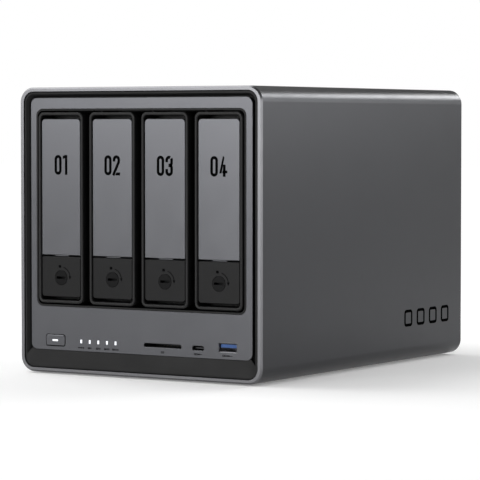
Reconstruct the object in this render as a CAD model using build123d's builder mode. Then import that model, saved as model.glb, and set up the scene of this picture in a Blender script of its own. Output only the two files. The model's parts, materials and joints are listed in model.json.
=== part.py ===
"""Four-bay network storage enclosure with sliding drive trays, in millimetres.

The origin is on the floor under the middle of the box. +X is to the right seen from the front,
the front faces -Y and +Z is up.
"""
import os
from math import cos, radians, sin

from build123d import *

# Outer sleeve and feet
width = 178.0
height = 177.4
depth = 257.0
wall = 3.0
deck = 2.5
outer_radius = 9.5
inner_radius = outer_radius - wall + 0.5
rim_chamfer = 1.0
rear_chamfer = 0.5
foot_height = 1.0
foot_radius = 8.0
foot_spacing_x = 136.0
foot_spacing_y = 208.0
corner_block = 9.0

front = -depth / 2
rear = depth / 2
base = foot_height
middle = base + height / 2
floor_inside = base + deck
inner_width = width - 2 * wall
inner_height = height - 2 * deck
corner_spacing_x = inner_width - corner_block
corner_spacing_z = inner_height - corner_block

# Front frame and faceplate, with heights above the sleeve's underside
frame_front = front + 0.4
frame_depth = 16.6
frame_back = frame_front + frame_depth
frame_skirt = 2.2
lip_side = 1.7
lip_bottom = 1.4
lip_rounding = 0.9
dish_radius = 5.6
plate_front = front + 1.4
plate_thickness = 1.0
plate_back = plate_front + plate_thickness
plate_width = 163.0
plate_bottom = base + 13.85
plate_top = base + 171.0
plate_radius = 4.3
groove_back = plate_front + 2.6
groove_floor = 0.4
web_back = groove_back + 1.5
cutout_width = 154.1
cutout_bottom = base + 41.35
cutout_top = base + 163.95
cutout_radius = 4.6
collar = 1.0

# Controls and sockets in the strip under the bays
strip_height = base + 20.1
button_x = -62.8
button_width = 14.2
button_height = 6.7
button_radius = 1.3
button_proud = 0.5
button_travel = 1.0
lens_width = 4.3
lens_height = 1.1
light_count = 5
light_first_x = -43.35
light_pitch = 6.47
light_width = 1.15
light_height = 2.2
card_x = 17.3
card_width = 27.4
card_height = 2.4
usb_c_x = 43.0
usb_c_drop = 0.25
usb_c_width = 8.9
usb_c_height = 3.2
usb_a_x = 64.0
usb_a_rise = 0.85
usb_a_width = 13.1
usb_a_height = 5.7
usb_a_depth = 14.0
socket_recess = plate_thickness + 0.05
mouth_cover = 0.4
opening_bevel = 0.2
slip = 0.3

# Drive bays and trays
bay_count = 4
bay_pitch = 38.75
bezel_width = 34.0
bezel_bottom = base + 43.35
bezel_top = base + 161.95
bezel_band = 1.9
bezel_radius = 3.8
bezel_front = front + 0.3
bezel_depth = 15.2
bezel_back = bezel_front + bezel_depth
bezel_wall = 2.0
face_width = 29.5
face_front = front + 1.1
handle_bottom = base + 73.2
handle_top = base + 157.95
handle_thickness = 2.2
handle_radius = 2.5
pivot_y = front + 4.5
pivot_height = base + 153.85
pivot_radius = 1.2
running_gap = 0.06
latch_bottom = base + 47.25
latch_top = base + 72.4
latch_depth = 6.0
latch_travel = 2.0
lock_height = base + 59.25
lock_radius = 4.7
drive_width = 26.1
drive_height = 101.6
drive_length = 147.0
drive_middle = base + 102.65
drive_front = -106.0
drive_rear = drive_front + drive_length
tray_skin = 2.3
tray_slack = 0.2
tray_rear = drive_rear - 3.0

# Drive cage behind the front frame
cage_front = -111.0
cage_rear = 49.0
sheet = 1.2
cage_half = bay_count * bay_pitch / 2
cage_floor = base + 41.25
cage_ceiling = base + 164.45
board = 1.6

# Main board and the sockets at the back
board_under = base + 12.5
board_top = board_under + board
panel_thickness = 2.5
panel_back = rear - 2.5
panel_front = panel_back - panel_thickness
fan_size = 140.0
fan_depth = 25.0
fan_height = base + 103.35
fan_hole_spacing = 124.5
fan_bore = 66.5
fan_front = panel_front - fan_depth
hub_radius = 21.0
blade_count = 9
filter_width = 146.0
filter_height = 136.0
filter_thickness = 2.0
lan_xs = (38.0, 18.0)
rear_usb_xs = (-20.0, -36.0, -52.0)
hdmi_x = -2.0
inlet_x = 62.0
reset_x = 50.5

# Access cover in the sleeve's underside
cover_width = 130.0
cover_length = 100.0
cover_thickness = 1.5
cover_ledge = 10.0

os.makedirs("parts", exist_ok=True)


def facing_front(y):
    """A sketch plane at depth y, seen from the front: local x is +X and local y is +Z."""
    return Plane.XZ.offset(-y)


def save(builder, name):
    """Label the finished piece and write it to its own file."""
    builder.part.label = name
    export_step(builder.part, f"parts/{name}.step")


def mid(low, high):
    return (low + high) / 2


def mirrored_corners(spacing_x, spacing_y, centre_y=0.0):
    """The four corners of a rectangle, as points for Locations."""
    return [
        (sx * spacing_x / 2, centre_y + sy * spacing_y / 2) for sx in (-1, 1) for sy in (-1, 1)
    ]


# ---------------------------------------------------------------- sleeve, feet and bottom cover
with BuildPart() as outer_sleeve:
    with BuildSketch(facing_front(front)):
        with Locations((0, middle)):
            RectangleRounded(width, height, outer_radius)
            RectangleRounded(inner_width, inner_height, inner_radius, mode=Mode.SUBTRACT)
    extrude(amount=-depth)
    chamfer(outer_sleeve.faces().sort_by(Axis.Y)[0].outer_wire().edges(), length=rim_chamfer)
    chamfer(outer_sleeve.faces().sort_by(Axis.Y)[-1].outer_wire().edges(), length=rear_chamfer)
    # Blocks in the rear corners take the rear panel's screws
    with BuildSketch(facing_front(panel_front)):
        with Locations((0, middle)):
            RectangleRounded(inner_width + wall, inner_height + wall, inner_radius)
            Rectangle(inner_width - 2 * corner_block, inner_height + 2 * wall, mode=Mode.SUBTRACT)
            Rectangle(inner_width + 2 * wall, inner_height - 2 * corner_block, mode=Mode.SUBTRACT)
    extrude(amount=corner_block)
    with BuildSketch(facing_front(panel_front)):
        with Locations(*mirrored_corners(corner_spacing_x, corner_spacing_z, middle)):
            Circle(1.25)
    extrude(amount=corner_block - 1, mode=Mode.SUBTRACT)
    # Rebate and window for the access cover
    with BuildSketch(Plane.XY.offset(base)):
        RectangleRounded(cover_width, cover_length, 6)
    extrude(amount=cover_thickness, mode=Mode.SUBTRACT)
    with BuildSketch(Plane.XY.offset(base)):
        RectangleRounded(cover_width - 2 * cover_ledge, cover_length - 2 * cover_ledge, 4)
        with Locations(*mirrored_corners(cover_width - cover_ledge, cover_length - cover_ledge)):
            Circle(1.25)
    extrude(amount=deck, mode=Mode.SUBTRACT)
save(outer_sleeve, "outer_sleeve")

with BuildPart() as rubber_feet:
    with BuildSketch(Plane.XY):
        with Locations(*mirrored_corners(foot_spacing_x, foot_spacing_y)):
            Circle(foot_radius)
    extrude(amount=foot_height)
    chamfer(rubber_feet.edges().group_by(Axis.Z)[0], length=0.3)
save(rubber_feet, "rubber_feet")

with BuildPart() as bottom_cover:
    with BuildSketch(Plane.XY.offset(base)):
        RectangleRounded(cover_width - 0.4, cover_length - 0.4, 5.8)
        with GridLocations(0, 12, 1, 5):
            SlotOverall(70, 3.5, mode=Mode.SUBTRACT)
    extrude(amount=cover_thickness)
    with Locations(Plane.XY.offset(base)):
        with Locations(*mirrored_corners(cover_width - cover_ledge, cover_length - cover_ledge)):
            Cylinder(1.6, 2 * cover_thickness, mode=Mode.SUBTRACT)
            Cylinder(3.0, 1.6, mode=Mode.SUBTRACT)
save(bottom_cover, "bottom_cover")

with BuildPart() as bottom_cover_screws:
    with BuildSketch(Plane.XY.offset(base)):
        with Locations(*mirrored_corners(cover_width - cover_ledge, cover_length - cover_ledge)):
            Circle(2.8)
    extrude(amount=0.8)
    with BuildSketch(Plane.XY.offset(base + 0.8)):
        with Locations(*mirrored_corners(cover_width - cover_ledge, cover_length - cover_ledge)):
            Circle(1.2)
    extrude(amount=deck - 1.0)
    with BuildSketch(Plane.XY.offset(base)):
        with Locations(*mirrored_corners(cover_width - cover_ledge, cover_length - cover_ledge)):
            Rectangle(3.2, 0.7)
            Rectangle(0.7, 3.2)
    extrude(amount=0.5, mode=Mode.SUBTRACT)
save(bottom_cover_screws, "bottom_cover_screws")

# ---------------------------------------------------------------- front frame and faceplate
dish_bottom = floor_inside + lip_bottom
dish_top = base + height - deck - lip_side
dish_width = inner_width - 2 * lip_side
cutout_height = cutout_top - cutout_bottom
cutout_middle = mid(cutout_bottom, cutout_top)
plate_height = plate_top - plate_bottom
plate_middle = mid(plate_bottom, plate_top)
light_xs = [light_first_x + light_pitch * i for i in range(light_count)]
light_bar_x = mid(light_xs[0], light_xs[-1])
# The mitre runs at 45 degrees through the faceplate's lower corners
chin_reach = inner_width / 2
chin_top = plate_bottom + plate_radius
mitre_height = plate_width / 2 - plate_radius + chin_top


def strip_openings(extra, around_shells):
    """The holes of the control strip in the current sketch, wider than their parts by extra,
    or by around_shells for the two sockets with metal shells."""
    with Locations((button_x, strip_height)):
        RectangleRounded(
            button_width + 2 * slip + extra, button_height + 2 * slip + extra, button_radius + slip
        )
    for x in light_xs:
        with Locations((x, strip_height)):
            Rectangle(light_width + 0.1 + extra, light_height + 0.1 + extra)
    with Locations((card_x, strip_height)):
        SlotOverall(card_width + extra, card_height + extra)
    with Locations((usb_c_x, strip_height - usb_c_drop)):
        SlotOverall(usb_c_width + around_shells, usb_c_height + around_shells)
    with Locations((usb_a_x, strip_height + usb_a_rise)):
        Rectangle(usb_a_width + around_shells, usb_a_height + around_shells)


with BuildPart() as front_frame:
    with BuildSketch(facing_front(frame_front)):
        with Locations((0, middle)):
            RectangleRounded(inner_width, inner_height, inner_radius)
    extrude(amount=-frame_depth)
    fillet(front_frame.faces().sort_by(Axis.Y)[0].edges(), radius=lip_rounding)
    # Groove that runs round the faceplate, its outer wall sloping in from the lip
    with BuildSketch(facing_front(frame_front)):
        with Locations((0, mid(dish_bottom, dish_top))):
            RectangleRounded(dish_width, dish_top - dish_bottom, dish_radius)
    with BuildSketch(facing_front(groove_back)):
        with Locations((0, plate_middle)):
            RectangleRounded(
                plate_width + 2 * groove_floor, plate_height + 2 * groove_floor, plate_radius
            )
    loft(ruled=True, mode=Mode.SUBTRACT)
    # Plinth behind the faceplate and, below it, the chin, which ends in a mitre at each side
    with BuildSketch(facing_front(frame_front)):
        Polygon(
            (-chin_reach, base), (chin_reach, base),
            (chin_reach, mitre_height - chin_reach), (mitre_height - chin_top, chin_top),
            (chin_top - mitre_height, chin_top), (-chin_reach, mitre_height - chin_reach),
        )
        with Locations((0, mid(dish_bottom, dish_top))):
            RectangleRounded(
                dish_width, dish_top - dish_bottom, dish_radius, mode=Mode.INTERSECT
            )
        with Locations((0, plate_middle)):
            RectangleRounded(plate_width, plate_height, plate_radius)
    extrude(amount=frame_front - groove_back)
    with BuildSketch(facing_front(frame_front)):
        with Locations((0, mid(dish_bottom, dish_top))):
            RectangleRounded(dish_width, dish_top - dish_bottom, dish_radius)
    with BuildSketch(facing_front(plate_front)):
        with Locations((0, plate_middle)):
            RectangleRounded(plate_width, plate_height, plate_radius)
    loft(ruled=True, mode=Mode.SUBTRACT)
    with BuildSketch(facing_front(plate_front)):
        with Locations((0, plate_middle)):
            RectangleRounded(plate_width, plate_height, plate_radius)
    extrude(amount=-plate_thickness, mode=Mode.SUBTRACT)
    # Hollow back behind the web, then the collar that lines the bay opening
    with BuildSketch(facing_front(web_back)):
        with Locations((0, middle)):
            RectangleRounded(inner_width - 2 * frame_skirt, inner_height - 2 * frame_skirt, 4.5)
    extrude(amount=web_back - frame_back, mode=Mode.SUBTRACT)
    with BuildSketch(facing_front(plate_front)):
        with Locations((0, cutout_middle)):
            RectangleRounded(cutout_width, cutout_height, cutout_radius)
    extrude(amount=plate_front - frame_back)
    with BuildSketch(facing_front(plate_front)):
        with Locations((0, cutout_middle)):
            RectangleRounded(
                cutout_width - 2 * collar, cutout_height - 2 * collar, cutout_radius - collar
            )
        strip_openings(extra=0.2, around_shells=mouth_cover)
    extrude(amount=plate_front - frame_back, mode=Mode.SUBTRACT)
save(front_frame, "front_frame")

with BuildPart() as faceplate:
    with BuildSketch(facing_front(plate_front)):
        with Locations((0, plate_middle)):
            RectangleRounded(plate_width - 0.2, plate_height - 0.2, plate_radius - 0.1)
        with Locations((0, cutout_middle)):
            RectangleRounded(
                cutout_width + 0.1, cutout_height + 0.1, cutout_radius, mode=Mode.SUBTRACT
            )
    extrude(amount=-plate_thickness)
    with BuildSketch(facing_front(plate_front)):
        strip_openings(extra=0, around_shells=-mouth_cover)
    extrude(amount=-plate_thickness, mode=Mode.SUBTRACT)
    chamfer(faceplate.faces().sort_by(Axis.Y)[0].edges(), length=opening_bevel)
save(faceplate, "faceplate")

# ---------------------------------------------------------------- power button and status lights
button_front = plate_front - button_proud
with BuildPart() as power_button:
    with BuildSketch(facing_front(button_front)):
        with Locations((button_x, strip_height)):
            RectangleRounded(button_width, button_height, button_radius)
    extrude(amount=button_front - web_back - slip)
    chamfer(power_button.faces().sort_by(Axis.Y)[0].outer_wire().edges(), length=0.35)
    # Flange that keeps the button in, and the stem that meets the switch
    with BuildSketch(facing_front(web_back + slip)):
        with Locations((button_x, strip_height)):
            Rectangle(button_width + 1.8, button_height + 1.8)
    extrude(amount=-1.2)
    with BuildSketch(facing_front(web_back + slip + 1.2)):
        with Locations((button_x, strip_height)):
            Circle(1.5)
    extrude(amount=-2.6)
    with BuildSketch(facing_front(button_front)):
        with Locations((button_x, strip_height)):
            RectangleRounded(lens_width + 0.06, lens_height + 0.06, 0.5)
    extrude(amount=-2.0, mode=Mode.SUBTRACT)
save(power_button, "power_button")

with BuildPart() as power_light_lens:
    with BuildSketch(facing_front(button_front)):
        with Locations((button_x, strip_height)):
            RectangleRounded(lens_width, lens_height, 0.48)
    extrude(amount=-2.0)
save(power_light_lens, "power_light_lens")

front_board_top = base + 14.8
switch_front = web_back + slip + 1.2 + 2.6 + button_travel + slip
with BuildPart() as power_switch:
    with Locations((button_x, mid(switch_front, frame_back), front_board_top)):
        Box(6, frame_back - switch_front, 8.5, align=(Align.CENTER, Align.CENTER, Align.MIN))
save(power_switch, "power_switch")

light_back = web_back + 5.0
with BuildPart() as status_light_pipes:
    with BuildSketch(facing_front(plate_front)):
        for x in light_xs:
            with Locations((x, strip_height)):
                Rectangle(light_width, light_height)
    extrude(amount=plate_front - light_back)
    # The bar joins the five prongs and stands on the front board
    with BuildSketch(facing_front(light_back)):
        with Locations((light_bar_x, front_board_top)):
            Rectangle(30, 8, align=(Align.CENTER, Align.MIN))
    extrude(amount=-2.0)
save(status_light_pipes, "status_light_pipes")

with BuildPart() as front_board:
    with Locations((0, web_back + slip, front_board_top)):
        Box(
            inner_width - 2 * frame_skirt - 1, frame_back - web_back - slip, board,
            align=(Align.CENTER, Align.MIN, Align.MAX),
        )
save(front_board, "front_board")

# ---------------------------------------------------------------- sockets in the control strip
with BuildPart() as card_reader:
    with BuildSketch(facing_front(web_back + 0.1)):
        with Locations((card_x, front_board_top)):
            Rectangle(
                card_width + 1.6, strip_height - front_board_top + 2.2,
                align=(Align.CENTER, Align.MIN),
            )
    extrude(amount=web_back + 0.1 - frame_back)
    with BuildSketch(facing_front(web_back + 0.1)):
        with Locations((card_x, strip_height)):
            SlotOverall(card_width, card_height)
    extrude(amount=-9.0, mode=Mode.SUBTRACT)
save(card_reader, "card_reader")

with BuildPart() as usb_c_port:
    with BuildSketch(facing_front(plate_front + socket_recess)):
        with Locations((usb_c_x, strip_height - usb_c_drop)):
            SlotOverall(usb_c_width, usb_c_height)
            SlotOverall(usb_c_width - 0.7, usb_c_height - 0.7, mode=Mode.SUBTRACT)
    extrude(amount=-7.0)
    with BuildSketch(facing_front(plate_front + socket_recess + 7.0)):
        with Locations((usb_c_x, front_board_top)):
            Rectangle(
                usb_c_width, strip_height - usb_c_drop + usb_c_height / 2 - front_board_top,
                align=(Align.CENTER, Align.MIN),
            )
    extrude(amount=-4.0)
    with BuildSketch(facing_front(plate_front + socket_recess + 1.4)):
        with Locations((usb_c_x, strip_height - usb_c_drop)):
            Rectangle(6.7, 0.7)
    extrude(amount=-5.6)
save(usb_c_port, "usb_c_port")


def usb_a_places():
    """Centre and mouth of each USB-A socket: the front one, then the ones at the back."""
    front_place = (usb_a_x, strip_height + usb_a_rise, plate_front + socket_recess, 1)
    rear_height = board_top + usb_a_height / 2 + 0.4
    return [front_place] + [(x, rear_height, panel_back - 0.1, -1) for x in rear_usb_xs]


with BuildPart() as usb_a_shells:
    for x, z, mouth, inward in usb_a_places():
        with BuildSketch(facing_front(mouth)):
            with Locations((x, z)):
                Rectangle(usb_a_width, usb_a_height)
        extrude(amount=-inward * usb_a_depth)
        with BuildSketch(facing_front(mouth)):
            with Locations((x, z)):
                Rectangle(usb_a_width - 0.7, usb_a_height - 0.7)
        extrude(amount=-inward * (usb_a_depth - 0.6), mode=Mode.SUBTRACT)
save(usb_a_shells, "usb_a_shells")

with BuildPart() as usb_a_tongues:
    for x, z, mouth, inward in usb_a_places():
        with BuildSketch(facing_front(mouth + inward * 0.8)):
            with Locations((x, z + inward * 1.0)):
                Rectangle(11.4, 2.0)
        extrude(amount=-inward * (usb_a_depth - 0.6 - 0.8))
save(usb_a_tongues, "usb_a_tongues")

# ---------------------------------------------------------------- trays, one set for each bay
bezel_height = bezel_top - bezel_bottom
bezel_middle = mid(bezel_bottom, bezel_top)
recess_width = bezel_width - 2 * bezel_band
recess_height = bezel_height - 2 * bezel_band
recess_back = bezel_back - bezel_wall
handle_back = face_front + handle_thickness
latch_back = face_front + latch_depth
lug_reach = 1.1
lug_height = 4.0
lug_back = latch_back - 0.8
lug_front = lug_back - 1.5
lock_back = front + 8.0
stub_reach = bezel_width / 2 - 0.8
ear_width = 3.0
rail_inner = drive_height / 2 + tray_slack
rail_outer = rail_inner + tray_skin
plate_inner = drive_width / 2 + tray_slack + 0.05
plate_outer = plate_inner + tray_skin
runner_width = 4.0
runner_height = 3.0
seam = 0.05
clip_length = 92.0
clip_width = 7.4
clip_depth = 1.2
clip_x = 8.4
clip_pin_spacing = 60.0


def bay_x(bay):
    return (bay - (bay_count - 1) / 2) * bay_pitch


for bay in range(bay_count):
    x = bay_x(bay)
    tray = f"tray_{bay + 1}"

    with BuildPart() as bezel:
        with BuildSketch(facing_front(bezel_front)):
            with Locations((x, bezel_middle)):
                RectangleRounded(bezel_width, bezel_height, bezel_radius)
        extrude(amount=-bezel_depth)
        with BuildSketch(facing_front(bezel_front)):
            with Locations((x, bezel_middle)):
                RectangleRounded(recess_width, recess_height, 2.4)
        extrude(amount=bezel_front - recess_back, mode=Mode.SUBTRACT)
        fillet(bezel.faces().sort_by(Axis.Y)[0].edges(), radius=0.85)
        # Blind pivot holes for the handle and guide slots for the latch
        with Locations(Plane.YZ.offset(x)):
            with Locations((pivot_y, pivot_height)):
                Cylinder(
                    pivot_radius + running_gap, 2 * (stub_reach + 0.2), mode=Mode.SUBTRACT
                )
        with Locations((x, mid(lug_front, lug_back + latch_travel), lock_height)):
            Box(
                face_width + 2 * lug_reach + 0.6,
                lug_back + latch_travel - lug_front + 2 * slip,
                lug_height + 2 * slip,
                mode=Mode.SUBTRACT,
            )
        # Air slots in the back wall
        with BuildSketch(facing_front(recess_back)):
            with Locations((x, bezel_middle + 12)):
                with GridLocations(9, 20, 3, 4):
                    SlotOverall(16, 4, rotation=90)
        extrude(amount=-bezel_wall, mode=Mode.SUBTRACT)
    save(bezel, f"{tray}_bezel")

    with BuildPart() as handle:
        with BuildSketch(facing_front(face_front)):
            with Locations((x, mid(handle_bottom, handle_top))):
                Rectangle(face_width, handle_top - handle_bottom)
        extrude(amount=-handle_thickness)
        fillet(
            handle.edges().filter_by(Axis.Y).group_by(Axis.Z)[-1], radius=handle_radius
        )
        chamfer(handle.faces().sort_by(Axis.Y)[0].outer_wire().edges(), length=0.4)
        # Stiffening lip and catch tab at the lower end
        with Locations((x, handle_back, handle_bottom)):
            Box(face_width - 3, 2.4, 2.0, align=(Align.CENTER, Align.MIN, Align.MIN))
        with Locations((x, mid(face_front + 0.7, handle_back), handle_bottom)):
            Box(10, 1.0, 0.5, align=(Align.CENTER, Align.CENTER, Align.MAX))
        # Ears with the pivot stubs at the upper end
        for side in (-1, 1):
            ear_x = x + side * (face_width - ear_width) / 2
            with BuildSketch(Plane.YZ.offset(ear_x - ear_width / 2)):
                with Locations((pivot_y, pivot_height)):
                    Circle(2.4)
                with Locations((handle_back - 0.2, pivot_height)):
                    Rectangle(pivot_y - handle_back + 0.2, 4.8, align=(Align.MIN, Align.CENTER))
            extrude(amount=ear_width)
            with BuildSketch(Plane.YZ.offset(x + side * face_width / 2)):
                with Locations((pivot_y, pivot_height)):
                    Circle(pivot_radius)
            extrude(amount=side * (stub_reach - face_width / 2))
    save(handle, f"{tray}_handle")

    with BuildPart() as latch:
        with BuildSketch(facing_front(face_front)):
            with Locations((x, mid(latch_bottom, latch_top))):
                Rectangle(face_width, latch_top - latch_bottom)
        extrude(amount=-latch_depth)
        fillet(latch.edges().filter_by(Axis.Y).group_by(Axis.Z)[0], radius=2.0)
        chamfer(latch.faces().sort_by(Axis.Y)[0].outer_wire().edges(), length=0.4)
        with Locations((x, mid(lug_front, lug_back), lock_height)):
            Box(face_width + 2 * lug_reach, lug_back - lug_front, lug_height)
        # Hollow back, leaving a boss round the lock
        with BuildSketch(facing_front(latch_back)):
            with Locations((x, mid(latch_bottom, latch_top))):
                RectangleRounded(face_width - 3.6, latch_top - latch_bottom - 3.6, 1.0)
            with Locations((x, lock_height)):
                Circle(lock_radius + 2.0, mode=Mode.SUBTRACT)
        extrude(amount=latch_depth - 2.0, mode=Mode.SUBTRACT)
        with BuildSketch(facing_front(face_front)):
            with Locations((x, lock_height)):
                Circle(lock_radius + running_gap)
        extrude(amount=-latch_depth, mode=Mode.SUBTRACT)
    save(latch, f"{tray}_latch")

    with BuildPart() as lock:
        with BuildSketch(facing_front(face_front - 0.15)):
            with Locations((x, lock_height)):
                Circle(lock_radius)
        extrude(amount=face_front - 0.15 - lock_back)
        chamfer(lock.faces().sort_by(Axis.Y)[0].outer_wire().edges(), length=0.3)
        with BuildSketch(facing_front(face_front - 0.15)):
            with Locations((x, lock_height)):
                Rectangle(6.9, 1.5)
        extrude(amount=-3.5, mode=Mode.SUBTRACT)
        # Tail that blocks the latch when the key is turned
        with BuildSketch(facing_front(lock_back)):
            with Locations((x, lock_height)):
                SlotOverall(11, 3.4)
        extrude(amount=-1.2)
    save(lock, f"{tray}_lock")

    with BuildPart() as carrier:
        # Side plate, then the two rails that clip onto it above and below the drive's space
        with BuildSketch(facing_front(bezel_back)):
            with Locations((x - plate_outer, drive_middle)):
                Rectangle(tray_skin, 2 * rail_outer, align=(Align.MIN, Align.CENTER))
            for side in (-1, 1):
                with Locations((x + seam / 2, drive_middle + side * mid(rail_inner, rail_outer))):
                    Rectangle(2 * plate_inner - seam, tray_skin)
                with Locations((x, drive_middle + side * (rail_outer + runner_height / 2))):
                    Rectangle(runner_width, runner_height)
        extrude(amount=bezel_back - tray_rear)
        # Windows in the side plate
        with BuildSketch(Plane.YZ.offset(x - plate_outer)):
            with Locations((mid(bezel_back, tray_rear), drive_middle)):
                with GridLocations(34, 30, 4, 3):
                    RectangleRounded(24, 20, 3)
        extrude(amount=tray_skin, mode=Mode.SUBTRACT)
        # Pockets and pin holes for the drive clips
        for side in (-1, 1):
            outer_face = drive_middle + side * rail_outer
            with BuildSketch(Plane.XY.offset(outer_face)):
                with Locations((x + clip_x, mid(drive_front, drive_rear))):
                    Rectangle(clip_width + 0.4, clip_length + 0.4)
            extrude(amount=-side * clip_depth, mode=Mode.SUBTRACT)
            with BuildSketch(Plane.XY.offset(outer_face)):
                with Locations((x + clip_x, mid(drive_front, drive_rear))):
                    with GridLocations(0, clip_pin_spacing, 1, 2):
                        Circle(1.6)
            extrude(amount=-side * tray_skin, mode=Mode.SUBTRACT)
    save(carrier, f"{tray}_carrier")

    with BuildPart() as drive_clips:
        for side in (-1, 1):
            outer_face = drive_middle + side * rail_outer
            with BuildSketch(Plane.XY.offset(outer_face)):
                with Locations((x + clip_x, mid(drive_front, drive_rear))):
                    Rectangle(clip_width, clip_length)
            extrude(amount=-side * clip_depth)
            with BuildSketch(Plane.XY.offset(outer_face - side * clip_depth)):
                with Locations((x + clip_x, mid(drive_front, drive_rear))):
                    with GridLocations(0, clip_pin_spacing, 1, 2):
                        Circle(1.5)
            extrude(amount=-side * (tray_skin - clip_depth))
    save(drive_clips, f"{tray}_drive_clips")

# ---------------------------------------------------------------- drive cage and backplane
cage_length = cage_rear - cage_front
with BuildPart() as drive_cage:
    with BuildSketch(facing_front(cage_front)):
        # Two side walls stand on the sleeve's floor; floor and roof plates join them
        for side in (-1, 1):
            with Locations((side * (cage_half + sheet / 2), floor_inside)):
                Rectangle(
                    sheet, cage_ceiling + sheet - floor_inside, align=(Align.CENTER, Align.MIN)
                )
        with Locations((0, cage_floor)):
            Rectangle(2 * cage_half, sheet, align=(Align.CENTER, Align.MAX))
        with Locations((0, cage_ceiling)):
            Rectangle(2 * cage_half, sheet, align=(Align.CENTER, Align.MIN))
    extrude(amount=-cage_length)
save(drive_cage, "drive_cage")

with BuildPart() as cage_dividers:
    with BuildSketch(facing_front(cage_front)):
        with Locations((0, cage_floor)):
            for gap in range(1, bay_count):
                with Locations(((gap - bay_count / 2) * bay_pitch, 0)):
                    Rectangle(sheet, cage_ceiling - cage_floor, align=(Align.CENTER, Align.MIN))
    extrude(amount=-cage_length)
save(cage_dividers, "cage_dividers")

guide_gap = 0.5
with BuildPart() as bay_guides:
    with BuildSketch(facing_front(cage_front + 5)):
        for bay in range(bay_count):
            low = drive_middle - rail_outer - guide_gap
            high = drive_middle + rail_outer + guide_gap
            with Locations((bay_x(bay), cage_floor)):
                Rectangle(20, low - cage_floor, align=(Align.CENTER, Align.MIN))
            with Locations((bay_x(bay), cage_ceiling)):
                Rectangle(20, cage_ceiling - high, align=(Align.CENTER, Align.MAX))
            with Locations((bay_x(bay), low), (bay_x(bay), high)):
                Rectangle(
                    runner_width + 1, 2 * (runner_height + guide_gap), mode=Mode.SUBTRACT
                )
    extrude(amount=cage_front + 5 - tray_rear)
save(bay_guides, "bay_guides")

connector_height = 42.0
connector_x = -8.5
connector_middle = drive_middle - 18
with BuildPart() as backplane_board:
    with BuildSketch(facing_front(cage_rear)):
        with Locations((0, mid(cage_floor, cage_ceiling))):
            Rectangle(2 * cage_half, cage_ceiling - cage_floor)
        for bay in range(bay_count):
            with Locations((bay_x(bay) + 6, drive_middle)):
                with GridLocations(0, 32, 1, 3):
                    RectangleRounded(14, 24, 3, mode=Mode.SUBTRACT)
    extrude(amount=-board)
save(backplane_board, "backplane_board")

with BuildPart() as sata_connectors:
    with BuildSketch(facing_front(drive_rear + 0.5)):
        for bay in range(bay_count):
            with Locations((bay_x(bay) + connector_x, connector_middle)):
                Rectangle(6.5, connector_height)
    extrude(amount=drive_rear + 0.5 - cage_rear)
    with BuildSketch(facing_front(drive_rear + 0.5)):
        for bay in range(bay_count):
            with Locations((bay_x(bay) + connector_x, connector_middle)):
                with Locations((0, 7)):
                    Rectangle(1.4, 21)
                with Locations((0, -13)):
                    Rectangle(1.4, 11)
    extrude(amount=-5.0, mode=Mode.SUBTRACT)
save(sata_connectors, "sata_connectors")

# ---------------------------------------------------------------- main board
board_front = -75.0
with BuildPart() as main_board:
    with Locations((0, board_front, board_under)):
        Box(150, panel_front - 0.5 - board_front, board, align=(Align.CENTER, Align.MIN, Align.MIN))
save(main_board, "main_board")

with BuildPart() as board_standoffs:
    with BuildSketch(Plane.XY.offset(floor_inside)):
        with Locations((0, 20)):
            with GridLocations(140, 90, 2, 3):
                RegularPolygon(3.0, 6)
    extrude(amount=board_under - floor_inside)
save(board_standoffs, "board_standoffs")

with BuildPart() as processor_heatsink:
    with BuildSketch(Plane.XY.offset(board_top)):
        with Locations((10, 20)):
            Rectangle(24, 24)
    extrude(amount=2.0)
    with BuildSketch(Plane.XY.offset(board_top + 2.0)):
        with Locations((10, 20)):
            RectangleRounded(62, 62, 2)
    extrude(amount=3.0)
    with BuildSketch(Plane.XY.offset(board_top + 5.0)):
        with Locations((10, 20)):
            with GridLocations(5, 0, 12, 1):
                Rectangle(1.4, 60)
    extrude(amount=17.0)
save(processor_heatsink, "processor_heatsink")

module_under = board_under - 5.3
with BuildPart() as board_sockets:
    # Memory socket, then two sockets for solid-state sticks, under the main board
    with Locations((0, -38, board_under)):
        Box(71, 6, 6.0, align=(Align.CENTER, Align.CENTER, Align.MAX))
    with Locations((-30, 32, board_under), (30, 32, board_under)):
        Box(22, 6, 4.2, align=(Align.CENTER, Align.CENTER, Align.MAX))
    with Locations((0, -38, module_under)):
        Box(67.8, 6, 1.4, align=(Align.CENTER, Align.MIN, Align.MIN), mode=Mode.SUBTRACT)
save(board_sockets, "board_sockets")

with BuildPart() as memory_module:
    with Locations((0, -38, module_under + 0.1)):
        Box(67.6, 30, 1.2, align=(Align.CENTER, Align.MIN, Align.MIN))
    with Locations((0, -22, module_under + 0.1)):
        with GridLocations(16, 0, 4, 1):
            Box(11, 9, 0.9, align=(Align.CENTER, Align.CENTER, Align.MAX))
save(memory_module, "memory_module")

# ---------------------------------------------------------------- rear panel and its sockets
lan_width = 16.0
lan_height = 13.5
lan_depth = 21.0
hdmi_width = 15.0
hdmi_height = 6.0
inlet_size = 10.0
inlet_middle = board_top + inlet_size / 2 + 0.5
reset_height = board_top + 6.0

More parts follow.
